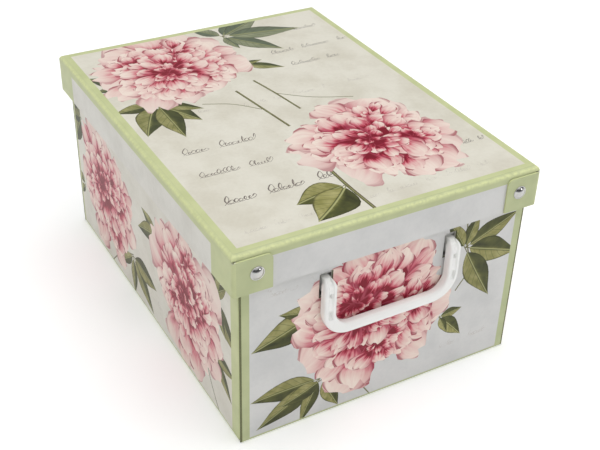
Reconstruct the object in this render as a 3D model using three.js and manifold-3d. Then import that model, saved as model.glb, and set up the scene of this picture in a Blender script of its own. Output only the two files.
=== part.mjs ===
// A rectangular storage box of laminated board, with a lift-off lid, press-studded corners and bail handles.
// Millimetres, +Z up. The origin is on the floor under the middle of the box, and the front end faces -Y.
// The left side faces -X. The rear end is the front end turned half a turn about Z, and the right side is
// the left side turned the same way.

import * as THREE from 'three';
import { mergeVertices } from 'three/addons/utils/BufferGeometryUtils.js';
import Module from 'manifold-3d';

const wasm = await Module();
wasm.setup();

// ---- driving dimensions ----

const lidWidth = 280;
const lidLength = 378;
const boxHeight = 189;
const rimHeight = 35.5;
const sideOverhang = 7.5;
const endOverhang = 5;

const board = 1.5;
const gap = 0.3;

const lidFoldRadius = 4;
const tabFoldRadius = 3;
const wallFoldRadius = 2;

const tabLength = 33;
const tabTopDrop = 4.5;
const tabCornerRadius = 5;
const flapLength = 40;
const flapTaper = 6;
const flapFloorGap = 5;

const slotSpacing = 116.4;
const slotWidth = 12;
const slotHeight = 23.4;
const slotTop = 147.4;
const backingHalfWidth = 86;
const backingBottom = 100;
const backingTop = 180;

const armWidth = 11;
const handleProud = 9.4;
const handleClearance = 0.6;
const handleOuterBend = 25;
const handleEdgeRound = 2.5;
const gripThickness = 10;
const gripBottom = 87;
const crossBarRadius = 1.8;
const crossBarLength = 18;
const crossBarReach = 8.5;

const lidSnapInset = 20;
const lidSnapDrop = 18.6;
const lidCapHeight = 2.8;
const bodySnapInset = 16;
const bodySnapHeight = 160;
const bodyCapHeight = 1.1;
const snapFit = 0.1;
const snapSides = 16;
const socketHoleRadius = 3.7;
const studHoleRadius = 3.2;

// ---- worked out from them ----

const sideFace = lidWidth / 2 - sideOverhang;
const endFace = lidLength / 2 - endOverhang;
const tabFace = lidLength / 2;
const rimFace = tabFace - board - gap;
const flapFace = endFace - board - gap;
const rimBottom = boxHeight - rimHeight;
const tabTop = boxHeight - tabTopDrop;
const lidUnderside = boxHeight - board;
const wallTop = lidUnderside - gap;
const lidSnapPlace = { x: lidWidth / 2 - lidSnapInset, z: boxHeight - lidSnapDrop };
const bodySnapPlace = { x: sideFace - bodySnapInset, z: bodySnapHeight };
const pivotDepth = board + gap / 2;
const pivotHeight = slotTop - slotHeight / 2;
const barrelRadius = handleProud + pivotDepth;
const handleInnerBend = handleOuterBend - gripThickness;
const hands = [-1, 1];

// ---- materials ----

function finish(color, roughness, metalness) {
  return new THREE.MeshStandardMaterial({ color, roughness, metalness });
}

const printedBoard = () => finish(0xe4e0d8, 0.4, 0);
const greenBoard = () => finish(0xc3cf9a, 0.4, 0);
const plainBoard = () => finish(0xe9e4d8, 0.8, 0);
const steel = () => finish(0xb9bbbf, 0.25, 1);
const whitePlastic = () => finish(0xf4f5f5, 0.25, 0);

// ---- solids ----

function toSolid(geometry) {
  const bare = geometry.clone();
  bare.deleteAttribute('normal');
  bare.deleteAttribute('uv');
  const welded = mergeVertices(bare, 1e-4);
  const vertProperties = new Float32Array(welded.attributes.position.array);
  const triVerts = new Uint32Array(welded.index.array);
  return new wasm.Manifold(new wasm.Mesh({ numProp: 3, vertProperties, triVerts }));
}

function toGeometry(solid) {
  const mesh = solid.getMesh();
  const geometry = new THREE.BufferGeometry();
  geometry.setAttribute('position', new THREE.BufferAttribute(mesh.vertProperties, 3));
  geometry.setIndex(new THREE.BufferAttribute(mesh.triVerts, 1));
  geometry.computeVertexNormals();
  return geometry;
}

function joined(geometries) {
  const solids = geometries.map(toSolid);
  return toGeometry(solids.reduce((whole, solid) => whole.add(solid)));
}

function addPiece(parent, name, geometry, material) {
  const mesh = new THREE.Mesh(geometry, material);
  mesh.name = name;
  parent.add(mesh);
}

// An outline in x and y, raised from z = low to z = high.
function raised(shape, low, high, curveSegments = 5) {
  const geometry = new THREE.ExtrudeGeometry(shape, { depth: high - low, bevelEnabled: false, curveSegments });
  return geometry.translate(0, 0, low);
}

// An outline in x and z, carried from y = near to y = far.
function upright(shape, near, far, curveSegments = 5) {
  return raised(shape, -far, -near, curveSegments).rotateX(Math.PI / 2);
}

function rectangle(left, bottom, right, top) {
  const shape = new THREE.Shape();
  shape.moveTo(left, bottom);
  shape.lineTo(right, bottom);
  shape.lineTo(right, top);
  shape.lineTo(left, top);
  shape.closePath();
  return shape;
}

// The section of a board whose outer face is at -face. It stands straight from v = end up or down to
// v = bend, then folds a quarter turn inwards, away from its end.
function foldedSection(face, end, bend, radius) {
  const away = Math.sign(bend - end);
  const centre = radius - face;
  const outerTurn = Math.PI - away * Math.PI / 2;
  const section = new THREE.Shape();
  section.moveTo(-face, end);
  section.lineTo(-face, bend);
  section.absarc(centre, bend, radius, Math.PI, outerTurn, away > 0);
  section.absarc(centre, bend, radius - board, outerTurn, Math.PI, away < 0);
  section.lineTo(board - face, end);
  section.closePath();
  return section;
}

// A long panel on the left: folded along its length, and wrapped a quarter turn round the corner at each end.
function wrappedPanel({ face, endReach, end, bend, radius, wrapRadius, wrapLow, wrapHigh }) {
  const straight = endReach - wrapRadius;
  const parts = [upright(foldedSection(face, end, bend, radius), -straight, straight)];
  for (const towards of [-1, 1]) {
    const wrap = foldedSection(face, 0, towards * straight, wrapRadius);
    parts.push(raised(wrap, wrapLow, wrapHigh));
  }
  return joined(parts);
}

// A panel across the front whose outer face is at y = -face, with each cutter's outline cut through it.
function pierced(panel, face, cutters) {
  const cuts = cutters.map((cutter) => toSolid(upright(cutter, -face - board, 2 * board - face)));
  return toGeometry(cuts.reduce((rest, cut) => rest.subtract(cut), toSolid(panel)));
}

// A panel across the front that folds inwards along its top or bottom edge.
function foldedFront({ face, halfWidth, end, bend, radius, cutters }) {
  const panel = upright(foldedSection(face, end, bend, radius), -halfWidth, halfWidth);
  return pierced(panel.rotateZ(Math.PI / 2), face, cutters);
}

function roundCutter(place, hand, radius) {
  const cutter = new THREE.Shape();
  cutter.absarc(hand * place.x, place.z, radius, 0, 2 * Math.PI, false);
  return cutter;
}

function slotCutter(hand) {
  const left = hand * slotSpacing / 2 - slotWidth / 2;
  return rectangle(left, slotTop - slotHeight, left + slotWidth, slotTop);
}

// ---- press studs ----

// A round part of a press stud. Its outline is [radius, height] pairs, where height 0 is the inner face of
// the outer board and grows outwards, towards -Y.
function turned(outline, place, innerFace) {
  const points = outline.map(([radius, height]) => new THREE.Vector2(radius, height));
  const geometry = new THREE.LatheGeometry(points, snapSides);
  return geometry.rotateX(Math.PI).translate(place.x, innerFace, place.z);
}

function capOutline(height) {
  const radius = 6;
  const rim = 0.5;
  const steps = 4;
  const base = board + snapFit;
  const outline = [[0, base]];
  for (let step = 0; step <= steps; step += 1) {
    const angle = step / steps * Math.PI / 2;
    outline.push([radius * Math.cos(angle), base + rim + (height - rim) * Math.sin(angle)]);
  }
  outline.splice(1, 0, [radius, base]);
  outline[outline.length - 1][0] = 0;
  return outline;
}

function socketOutline() {
  const outer = socketHoleRadius - gap;
  const inner = 2.3;
  const top = board - snapFit;
  return [[inner, snapFit], [outer, snapFit], [outer, top], [inner, top], [inner, snapFit]];
}

function studOutline() {
  const headRadius = 1.9;
  const headTop = 0.9;
  const boreRadius = 1;
  const baseRadius = studHoleRadius - gap;
  const baseTop = -gap - snapFit;
  const baseBottom = -gap - board + snapFit;
  return [
    [0, 0.3], [boreRadius, 0.3], [boreRadius, baseBottom], [baseRadius, baseBottom], [baseRadius, baseTop],
    [headRadius, baseTop], [headRadius, headTop - 0.3], [headRadius - 0.4, headTop], [0, headTop],
  ];
}

function postOutline() {
  const flangeRadius = 4;
  const pinRadius = 0.8;
  const flangeTop = -gap - board - snapFit;
  const flangeBottom = flangeTop - 0.6;
  return [[0, flangeBottom], [flangeRadius, flangeBottom], [flangeRadius, flangeTop], [pinRadius, flangeTop],
    [pinRadius, 0.1], [0, 0.1]];
}

// The four parts of one press stud: cap and socket on the outer board, stud and post on the inner one.
function addSnap(parent, prefix, suffix, place, outerFace, capHeight) {
  const innerFace = board - outerFace;
  const outlines = {
    cap: capOutline(capHeight), socket: socketOutline(), stud: studOutline(), post: postOutline(),
  };
  for (const [part, outline] of Object.entries(outlines)) {
    addPiece(parent, `${prefix}_${part}_${suffix}`, turned(outline, place, innerFace), steel());
  }
}

// ---- board panels ----

function addFloor(parent) {
  const halfWidth = sideFace - wallFoldRadius - gap;
  const halfLength = endFace - wallFoldRadius - gap;
  const insertHalfLength = flapFace - board - gap;
  const panel = raised(rectangle(-halfWidth, -halfLength, halfWidth, halfLength), 0, board);
  const insert = raised(
    rectangle(-halfWidth, -insertHalfLength, halfWidth, insertHalfLength), board + gap, 2 * board + gap);
  addPiece(parent, 'floor_panel', panel, plainBoard());
  addPiece(parent, 'floor_insert', insert, plainBoard());
}

function addSide(parent, side) {
  const wall = wrappedPanel({
    face: sideFace, endReach: flapFace, end: wallTop, bend: wallFoldRadius, radius: wallFoldRadius,
    wrapRadius: wallFoldRadius, wrapLow: wallFoldRadius + gap, wrapHigh: wallTop,
  });
  const rim = wrappedPanel({
    face: lidWidth / 2, endReach: tabFace, end: rimBottom, bend: boxHeight - lidFoldRadius, radius: lidFoldRadius,
    wrapRadius: tabFoldRadius, wrapLow: rimBottom, wrapHigh: tabTop,
  });
  addPiece(parent, `wall_${side}`, wall, printedBoard());
  addPiece(parent, `lid_rim_${side}`, rim, greenBoard());
}

function addEndPanels(parent, end) {
  const wall = foldedFront({
    face: endFace, halfWidth: sideFace - gap, end: wallTop, bend: wallFoldRadius, radius: wallFoldRadius,
    cutters: hands.flatMap((hand) => [slotCutter(hand), roundCutter(bodySnapPlace, hand, socketHoleRadius)]),
  });
  const rim = foldedFront({
    face: rimFace, halfWidth: lidWidth / 2 - lidFoldRadius - gap, end: rimBottom, bend: boxHeight - lidFoldRadius,
    radius: lidFoldRadius, cutters: hands.map((hand) => roundCutter(lidSnapPlace, hand, studHoleRadius)),
  });
  const plate = rectangle(-backingHalfWidth, backingBottom, backingHalfWidth, backingTop);
  const backing = pierced(upright(plate, -flapFace, board - flapFace), flapFace, hands.map(slotCutter));
  addPiece(parent, `end_wall_${end}`, wall, printedBoard());
  addPiece(parent, `lid_rim_${end}`, rim, printedBoard());
  addPiece(parent, `handle_backing_${end}`, backing, plainBoard());
}

function addLidTop(parent) {
  const halfWidth = lidWidth / 2 - lidFoldRadius - gap;
  const halfLength = rimFace - lidFoldRadius - gap;
  const panel = raised(rectangle(-halfWidth, -halfLength, halfWidth, halfLength), lidUnderside, boxHeight);
  addPiece(parent, 'lid_top', panel, printedBoard());
}

// The tab that wraps from a long rim onto the end rim. Its upper free corner is rounded.
function tabShape(hand) {
  const crease = hand * (lidWidth / 2 - tabFoldRadius - gap);
  const free = hand * (lidWidth / 2 - tabLength);
  const cornerX = free + hand * tabCornerRadius;
  const cornerZ = tabTop - tabCornerRadius;
  const shape = new THREE.Shape();
  shape.moveTo(crease, rimBottom);
  shape.lineTo(crease, tabTop);
  shape.absarc(cornerX, cornerZ, tabCornerRadius, Math.PI / 2, hand < 0 ? 0 : Math.PI, hand < 0);
  shape.lineTo(free, rimBottom);
  shape.closePath();
  return shape;
}

// The flap that folds from a long wall to lie behind the end wall. It tapers towards its free edge.
function flapShape(hand) {
  const crease = hand * (sideFace - wallFoldRadius - gap);
  const free = hand * (sideFace - flapLength);
  const shape = new THREE.Shape();
  shape.moveTo(crease, flapFloorGap);
  shape.lineTo(crease, wallTop);
  shape.lineTo(free, wallTop - flapTaper);
  shape.lineTo(free, flapFloorGap + flapTaper);
  shape.closePath();
  return shape;
}

function addCorner(parent, corner, hand) {
  const lidPlace = { x: hand * lidSnapPlace.x, z: lidSnapPlace.z };
  const bodyPlace = { x: hand * bodySnapPlace.x, z: bodySnapPlace.z };
  const tabHole = roundCutter(lidSnapPlace, hand, socketHoleRadius);
  const tab = pierced(upright(tabShape(hand), -tabFace, board - tabFace), tabFace, [tabHole]);
  const flapHole = roundCutter(bodySnapPlace, hand, studHoleRadius);
  const flap = pierced(upright(flapShape(hand), -flapFace, board - flapFace), flapFace, [flapHole]);
  addPiece(parent, `lid_tab_${corner}`, tab, greenBoard());
  addPiece(parent, `corner_flap_${corner}`, flap, plainBoard());
  addSnap(parent, 'lid_snap', corner, lidPlace, tabFace, lidCapHeight);
  addSnap(parent, 'body_snap', corner, bodyPlace, endFace, bodyCapHeight);
}

// ---- handle ----

// The hanging bail, seen from the front: two arms, two bends and the grip.
function bailShape() {
  const outerX = slotSpacing / 2 + armWidth / 2;
  const innerX = outerX - armWidth;
  const bendZ = gripBottom + handleOuterBend;
  const shape = new THREE.Shape();
  shape.moveTo(-outerX, pivotHeight);
  shape.lineTo(-outerX, bendZ);
  shape.absarc(handleOuterBend - outerX, bendZ, handleOuterBend, Math.PI, 1.5 * Math.PI, false);
  shape.absarc(outerX - handleOuterBend, bendZ, handleOuterBend, 1.5 * Math.PI, 2 * Math.PI, false);
  shape.lineTo(outerX, pivotHeight);
  shape.lineTo(innerX, pivotHeight);
  shape.absarc(innerX - handleInnerBend, bendZ, handleInnerBend, 2 * Math.PI, 1.5 * Math.PI, true);
  shape.absarc(handleInnerBend - innerX, bendZ, handleInnerBend, 1.5 * Math.PI, Math.PI, true);
  shape.lineTo(-innerX, pivotHeight);
  return shape;
}

function bail() {
  const thickness = handleProud - handleClearance;
  const geometry = new THREE.ExtrudeGeometry(bailShape(), {
    depth: thickness - 2 * handleEdgeRound,
    bevelThickness: handleEdgeRound,
    bevelSize: handleEdgeRound,
    bevelOffset: -handleEdgeRound,
    bevelSegments: 3,
    curveSegments: 8,
  });
  return geometry.rotateX(Math.PI / 2).translate(0, -endFace - handleClearance - handleEdgeRound, 0);
}

// A round bar along x, centred at x and at (y, z).
function crossways(radius, length, sides, x, y, z) {
  return new THREE.CylinderGeometry(radius, radius, length, sides).rotateZ(Math.PI / 2).translate(x, y, z);
}

// Each arm ends in a barrel that turns in its slot, until the raised arm meets the slot's upper edge. The cross
// bar on the barrel lies behind the boards and keeps the handle in.
function addHandle(parent, end) {
  const pivotY = pivotDepth - endFace;
  const barBehind = pivotDepth + gap + crossBarRadius;
  const barAbove = Math.sqrt(crossBarReach ** 2 - barBehind ** 2);
  const parts = [bail()];
  for (const side of [-1, 1]) {
    const x = side * slotSpacing / 2;
    parts.push(crossways(barrelRadius, armWidth, 32, x, pivotY, pivotHeight));
    parts.push(crossways(crossBarRadius, crossBarLength, 10, x, pivotY + barBehind, pivotHeight + barAbove));
  }
  addPiece(parent, `handle_${end}`, joined(parts), whitePlastic());
}

// ---- the whole box ----

const storageBox = new THREE.Group();
addFloor(storageBox);
addLidTop(storageBox);

for (const [side, end, turn] of [['left', 'front', 0], ['right', 'rear', Math.PI]]) {
  const half = new THREE.Group();
  half.rotation.z = turn;
  storageBox.add(half);
  const otherSide = side === 'left' ? 'right' : 'left';
  addSide(half, side);
  addEndPanels(half, end);
  addCorner(half, `${end}_${side}`, -1);
  addCorner(half, `${end}_${otherSide}`, 1);
  addHandle(half, end);
}

export default storageBox;
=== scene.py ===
import math
import random
from collections import namedtuple

import bmesh
import bpy
import numpy as np
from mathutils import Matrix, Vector
from mathutils.geometry import delaunay_2d_cdt


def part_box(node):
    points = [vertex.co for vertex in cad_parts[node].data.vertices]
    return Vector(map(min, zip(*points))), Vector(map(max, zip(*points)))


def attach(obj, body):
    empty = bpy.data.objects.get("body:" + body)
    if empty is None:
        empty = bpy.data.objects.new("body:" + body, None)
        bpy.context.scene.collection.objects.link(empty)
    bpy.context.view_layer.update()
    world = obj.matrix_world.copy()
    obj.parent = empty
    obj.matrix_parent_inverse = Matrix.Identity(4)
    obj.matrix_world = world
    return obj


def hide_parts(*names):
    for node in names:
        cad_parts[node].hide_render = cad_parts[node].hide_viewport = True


# The looks of a printed storage box. Shapes are worked out in millimetres and stored in metres.
# A printed board is one flat sheet. Its outline and every printed shape are cut into the same mesh, so the
# print stays sharp at any size. Then the sheet is folded and given its thickness.

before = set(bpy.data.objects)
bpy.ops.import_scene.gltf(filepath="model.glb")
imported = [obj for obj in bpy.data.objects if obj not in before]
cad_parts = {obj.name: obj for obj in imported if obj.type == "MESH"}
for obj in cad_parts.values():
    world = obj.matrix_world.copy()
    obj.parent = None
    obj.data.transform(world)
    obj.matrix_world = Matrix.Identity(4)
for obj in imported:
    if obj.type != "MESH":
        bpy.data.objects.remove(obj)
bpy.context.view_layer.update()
MM = 0.001


# ---- dimensions, read from the CAD nodes ----

def low(node, axis):
    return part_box(node)[0]["xyz".index(axis)] / MM


def high(node, axis):
    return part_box(node)[1]["xyz".index(axis)] / MM


LID_SIDE = high("lid_rim_right", "x")
LID_TOP = high("lid_top", "z")
BOARD = LID_TOP - low("lid_top", "z")
TAB_FACE = -low("lid_tab_front_left", "y")
TAB_TOP = high("lid_tab_front_left", "z")
TAB_FREE = -high("lid_tab_front_left", "x")
RIM_FACE = -low("lid_rim_front", "y")
RIM_BOTTOM = low("lid_rim_front", "z")
RIM_HALF = high("lid_rim_front", "x")
SIDE_FACE = high("wall_right", "x")
WALL_TOP = high("wall_right", "z")
WALL_REACH = high("wall_right", "y")
END_FACE = -low("end_wall_front", "y")
END_HALF = high("end_wall_front", "x")

LID_FOLD = 4.0
TAB_FOLD = 3.0
WALL_FOLD = 2.0
TAB_CORNER = 5.0
NOTCH_DEPTH = 1.3
TAB_CREASE = LID_SIDE - TAB_FOLD - 0.05
WRAP_FOOT = 2.3
SLOT_SPACING = 116.4
SLOT_WIDTH = 12.0
SLOT_TOP = 147.4
SLOT_HEIGHT = 23.4
QUARTER = math.pi / 2
LID_STRAIGHT_X = LID_SIDE - LID_FOLD
LID_STRAIGHT_Y = RIM_FACE - LID_FOLD
LID_FOLD_ARC = LID_FOLD * QUARTER
LID_DROP = LID_FOLD_ARC + LID_TOP - LID_FOLD - RIM_BOTTOM

BORDER = 9.0
FOLD_BAND = 10.5
RIM_GREEN_END = 36.0
SIDE_BORDER = 11.0
REAR_BORDER = 2.0
END_BORDER = 8.0
FOOT_BORDER = 2.8


# ---- materials ----

def paint(colour):
    """A colour for a node: screen values from 0 to 255 become light values, and a socket stays as it is."""
    def linear(value):
        value /= 255
        return value / 12.92 if value <= 0.04045 else ((value + 0.055) / 1.055) ** 2.4
    return (*map(linear, colour), 1.0) if isinstance(colour, tuple) else colour


SOCKETS = {
    "colour": "Base Color", "roughness": "Roughness", "normal": "Normal", "metallic": "Metallic",
    "specular": "Specular IOR Level", "glow": "Emission Color", "glow_strength": "Emission Strength",
    "strength": "Strength", "background": "Color",
}


class Nodes:
    """Short calls that build the node tree of one material, or of the world."""

    def __init__(self, name, store=bpy.data.materials, shader="Principled BSDF"):
        self.owner = store.new(name)
        self.owner.use_nodes = True
        self.tree = self.owner.node_tree
        self.shader = self.tree.nodes[shader]

    def put(self, socket, value):
        if isinstance(value, bpy.types.NodeSocket):
            self.tree.links.new(value, socket)
        elif value is not None:
            socket.default_value = value

    def surface(self, **inputs):
        """Fills the shader's sockets, by their names in SOCKETS."""
        for name, value in inputs.items():
            self.put(self.shader.inputs[SOCKETS[name]], value)
        return self.owner

    def add(self, kind, inputs=(), **settings):
        node = self.tree.nodes.new(kind)
        for key, value in settings.items():
            setattr(node, key, value)
        for key, value in dict(inputs).items():
            self.put(node.inputs[key], value)
        return node

    def math(self, operation, *values, clamp=False):
        node = self.add("ShaderNodeMath", operation=operation, use_clamp=clamp)
        for socket, value in zip(node.inputs, values):
            self.put(socket, value)
        return node.outputs[0]

    def times(self, first, second):
        return self.math("MULTIPLY", first, second)

    def plus(self, first, second):
        return self.math("ADD", first, second)

    def minus(self, first, second):
        return self.math("SUBTRACT", first, second)

    def size(self, value):
        return self.math("ABSOLUTE", value)

    def scaled(self, vector, scale):
        node = self.add("ShaderNodeVectorMath", {0: vector, 1: scale}, operation="MULTIPLY")
        return node.outputs[0]

    def joined(self, x, y, z):
        return self.add("ShaderNodeCombineXYZ", {0: x, 1: y, 2: z}).outputs[0]

    def split(self, vector):
        return self.add("ShaderNodeSeparateXYZ", {0: vector}).outputs

    def attribute(self, name):
        return self.add("ShaderNodeAttribute", attribute_name=name).outputs["Vector"]

    def place(self):
        return self.add("ShaderNodeTexCoord").outputs["Object"]

    def noise(self, vector, scale, detail=2.0, roughness=0.5):
        inputs = {"Vector": vector, "Scale": scale, "Detail": detail, "Roughness": roughness}
        return self.add("ShaderNodeTexNoise", inputs).outputs[0]

    def step(self, value, start, end, out_low=0.0, out_high=1.0):
        inputs = {"Value": value, "From Min": start, "From Max": end, "To Min": out_low, "To Max": out_high}
        return self.add("ShaderNodeMapRange", inputs, interpolation_type="SMOOTHSTEP").outputs[0]

    def mix(self, amount, first, second):
        node = self.add("ShaderNodeMix", data_type="RGBA")
        self.put(node.inputs[0], amount)
        self.put(node.inputs[6], paint(first))
        self.put(node.inputs[7], paint(second))
        return node.outputs[2]

    def ramp(self, value, stops):
        node = self.add("ShaderNodeValToRGB", {0: value})
        elements = node.color_ramp.elements
        while len(elements) < len(stops):
            elements.new(0.5)
        for element, (place, colour) in zip(elements, stops):
            element.position = place
            element.color = paint(colour)
        return node.outputs[0]

    def bump(self, height, distance, strength=1.0, under=None):
        inputs = {"Height": height, "Distance": distance, "Strength": strength, "Normal": under}
        return self.add("ShaderNodeBump", inputs).outputs[0]


def laminate(m, colour):
    """The satin film over the print: a fine paper tooth under it and slow waves in the board."""
    tooth = m.noise(m.place(), 900.0, 3.0)
    waves = m.noise(m.place(), 14.0, 1.0)
    waved = m.bump(waves, 0.0016, 0.35)
    return m.surface(colour=colour, roughness=m.step(tooth, 0.2, 0.8, 0.36, 0.46), specular=0.2,
                     normal=m.bump(tooth, 0.00006, 0.5, waved))


def mottled(m, sheet, pale, dark):
    """Old paper: broad soft clouds, and a finer grain inside them."""
    clouds = m.noise(sheet, 0.022, 4.0, 0.6)
    grain = m.noise(sheet, 0.35, 3.0, 0.6)
    amount = m.plus(m.step(clouds, 0.35, 0.7), m.step(grain, 0.3, 0.8, 0.0, 0.22))
    return m.mix(m.math("MULTIPLY", amount, 0.62, clamp=True), pale, dark)


def ground_colour(m):
    """The cream ground. The second tone value turns it from warm cream to a darker grey: painted shade on the
    faces turned away from the light.
    """
    sheet = m.attribute("sheet")
    painted_shade = m.split(m.attribute("tone"))[1]
    warm = mottled(m, sheet, (230, 226, 213), (208, 202, 185))
    shaded_paper = mottled(m, sheet, (216, 215, 213), (198, 198, 197))
    return m.mix(painted_shade, warm, shaded_paper)


def field_material():
    m = Nodes("print_field")
    return laminate(m, ground_colour(m))


def ghost_material():
    """Old handwriting showing through the paper, far too faint and broken to read."""
    m = Nodes("print_ghost")
    ground = ground_colour(m)
    broken = m.step(m.noise(m.attribute("sheet"), 0.16, 2.0), 0.42, 0.62, 0.08, 0.55)
    return laminate(m, m.mix(broken, ground, (184, 176, 168)))


def green_material():
    """The plain green border. The first tone value is 1 along a fold, where it gets a painted highlight and
    some whitening of the film, and the second darkens the green as painted shade on faces turned away from
    the light."""
    m = Nodes("print_green")
    sheet = m.attribute("sheet")
    crease, shade_amount, _ = m.split(m.attribute("tone"))
    cloud = m.step(m.noise(sheet, 0.05, 3.0), 0.3, 0.7)
    green = m.mix(cloud, (207, 212, 162), (198, 204, 153))
    shaded_green = m.mix(cloud, (187, 193, 152), (178, 185, 144))
    # Painted shade: the green is darkened on faces turned away from the light.
    green = m.mix(m.times(shade_amount, 0.8), green, shaded_green)
    # Painted highlight along the middle of each fold, together with some real whitening of the film there.
    worn = m.times(m.step(m.noise(sheet, 0.3, 3.0), 0.2, 0.7, 0.35, 1.0), crease)
    return laminate(m, m.mix(worn, green, (226, 231, 174)))


def across_profile(m, along, across, curve, fullness, bluntness):
    """How far a point lies from a petal's or leaf's middle line, as -1 to 1 from edge to edge."""
    bulge = m.math("POWER", m.math("MAXIMUM", along, 0.001), fullness)
    half = m.math("POWER", m.math("SINE", m.times(bulge, math.pi)), bluntness)
    centred = m.minus(across, m.times(curve, m.math("POWER", along, 2.0)))
    return m.math("DIVIDE", centred, m.math("MAXIMUM", half, 0.02)), centred


def petal_material():
    """Watercolour petals: deep at the base, pale at the lip, streaked along, with a thin drawn edge."""
    m = Nodes("print_petal")
    along, across, seed = m.split(m.attribute("motif"))
    depth, pale, curve = m.split(m.attribute("tone"))
    side, _ = across_profile(m, along, across, curve, PETAL_FULLNESS, PETAL_BLUNTNESS)
    shift = m.times(seed, 7.3)
    streak = m.noise(m.joined(m.times(side, 3.2), m.times(along, 0.9), shift), 1.6, 3.0)
    wash = m.noise(m.joined(m.times(side, 0.8), m.times(along, 1.4), shift), 1.5, 2.0)
    tone = m.plus(along, m.times(m.minus(streak, 0.5), 0.75))
    tone = m.plus(tone, m.times(m.minus(wash, 0.5), 0.8))
    tone = m.minus(tone, m.times(depth, 0.62))
    colour = m.ramp(tone, [
        (0.0, (128, 20, 40)), (0.09, (172, 44, 66)), (0.2, (205, 104, 118)),
        (0.33, (223, 163, 163)), (0.5, (233, 200, 192)), (0.85, (243, 226, 214)),
    ])
    shade = m.times(m.step(side, 0.25, 1.0), m.step(along, 0.2, 1.0, 0.75, 0.3))
    colour = m.mix(shade, colour, (190, 88, 106))
    edge = m.step(m.size(side), 0.78, 0.96)
    inked = m.times(edge, m.step(streak, 0.36, 0.56, 0.2, 0.92))
    colour = m.mix(inked, colour, (156, 44, 68))
    washed = m.mix(m.times(pale, m.step(along, 0.1, 0.9, 0.35, 1.0)), colour, ground_tint(m))
    return laminate(m, washed)


def ground_tint(m):
    return m.mix(m.noise(m.attribute("sheet"), 0.08, 2.0), (231, 208, 202), (225, 206, 196))


def leaf_material():
    """Leaves: a light rib, side veins, one half in shade and a dark drawn edge."""
    m = Nodes("print_leaf")
    along, across, seed = m.split(m.attribute("motif"))
    depth, pale, curve = m.split(m.attribute("tone"))
    side, centred = across_profile(m, along, across, curve, LEAF_FULLNESS, LEAF_BLUNTNESS)
    shift = m.times(seed, 5.1)
    wash = m.noise(m.joined(side, m.times(along, 4.0), shift), 1.2, 3.0)
    half = m.step(side, -0.25, 0.35)
    tone = m.plus(m.times(half, 0.42), m.times(wash, 0.6))
    olive = m.ramp(tone, [
        (0.15, (186, 180, 124)), (0.36, (146, 143, 84)), (0.62, (92, 94, 50)),
        (0.88, (48, 50, 30)),
    ])
    blued = m.ramp(tone, [
        (0.1, (160, 166, 142)), (0.5, (128, 138, 116)), (1.0, (88, 100, 92)),
    ])
    colour = m.mix(pale, olive, blued)
    slant = m.minus(m.times(along, 8.0), m.times(m.size(side), 1.5))
    vein = m.size(m.minus(m.math("FRACT", slant), 0.5))
    colour = m.mix(m.step(vein, 0.09, 0.02, 0.0, 0.45), colour, (70, 80, 42))
    rib_shadow = m.step(m.size(m.plus(centred, 0.06)), 0.05, 0.02, 0.0, 0.7)
    rib = m.step(m.size(centred), 0.06, 0.02, 0.0, 0.75)
    colour = m.mix(rib_shadow, colour, (58, 66, 38))
    colour = m.mix(rib, colour, (188, 188, 132))
    edge = m.step(m.size(side), 0.84, 0.98, 0.0, 0.75)
    colour = m.mix(edge, colour, (58, 58, 34))
    return laminate(m, m.mix(m.times(depth, 0.5), colour, (52, 56, 34)))


def stem_material():
    m = Nodes("print_stem")
    _, across, _ = m.split(m.attribute("motif"))
    colour = m.ramp(m.step(across, -1.0, 1.0), [
        (0.0, (74, 78, 50)), (0.28, (128, 130, 84)), (0.65, (158, 156, 110)),
        (1.0, (78, 64, 44)),
    ])
    patch = m.noise(m.attribute("sheet"), 0.2, 2.0)
    return laminate(m, m.mix(m.step(patch, 0.4, 0.7, 0.0, 0.4), colour, (96, 84, 56)))


def ink_material():
    m = Nodes("print_ink")
    worn = m.noise(m.attribute("sheet"), 0.5, 3.0)
    return laminate(m, m.mix(m.step(worn, 0.3, 0.75), (92, 82, 78), (152, 142, 134)))


def lining_material():
    """The unprinted inside: off-white paper with short fibres and a faint machine grain."""
    m = Nodes("board_lining")
    fibre = m.noise(m.scaled(m.place(), (1.0, 0.25, 1.0)), 700.0, 4.0, 0.7)
    cloud = m.noise(m.place(), 24.0, 2.0)
    amount = m.plus(m.step(fibre, 0.3, 0.75, 0.0, 0.5), m.step(cloud, 0.3, 0.7, 0.0, 0.4))
    return m.surface(colour=m.mix(amount, (240, 237, 229), (226, 221, 210)), roughness=0.78,
                     normal=m.bump(fibre, 0.00008, 0.6))


def edge_material():
    """Cut edges: pale pressed layers of board between two papers."""
    m = Nodes("board_edge")
    layers = m.noise(m.scaled(m.place(), (60.0, 60.0, 60.0)), 40.0, 3.0)
    return m.surface(colour=m.mix(layers, (222, 224, 200), (196, 198, 172)), roughness=0.7,
                     normal=m.bump(layers, 0.00008, 0.6))


def gap_shadow_material():
    """Painted shadow: an end wall's cut edges, slots included, and a dark line on the print beside its side
    edges, for the gap where it meets a side wall.
    """
    m = Nodes("painted_gap_shadow")
    fine_marks = m.noise(m.place(), 500.0, 3.0)
    return m.surface(colour=m.mix(fine_marks, (120, 124, 82), (82, 86, 52)), roughness=0.7,
                     normal=m.bump(fine_marks, 0.00008, 0.6))


def steel_material():
    """Bright nickel-plated steel with fine rubbing marks."""
    m = Nodes("plated_steel")
    fine_marks = m.noise(m.scaled(m.place(), (1.0, 1.0, 0.2)), 2600.0, 3.0)
    cloud = m.noise(m.place(), 160.0, 2.0)
    return m.surface(colour=m.mix(cloud, (208, 206, 202), (172, 172, 171)), metallic=1.0,
                     roughness=m.step(fine_marks, 0.25, 0.8, 0.1, 0.2), normal=m.bump(fine_marks, 0.00001, 0.3))


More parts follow.
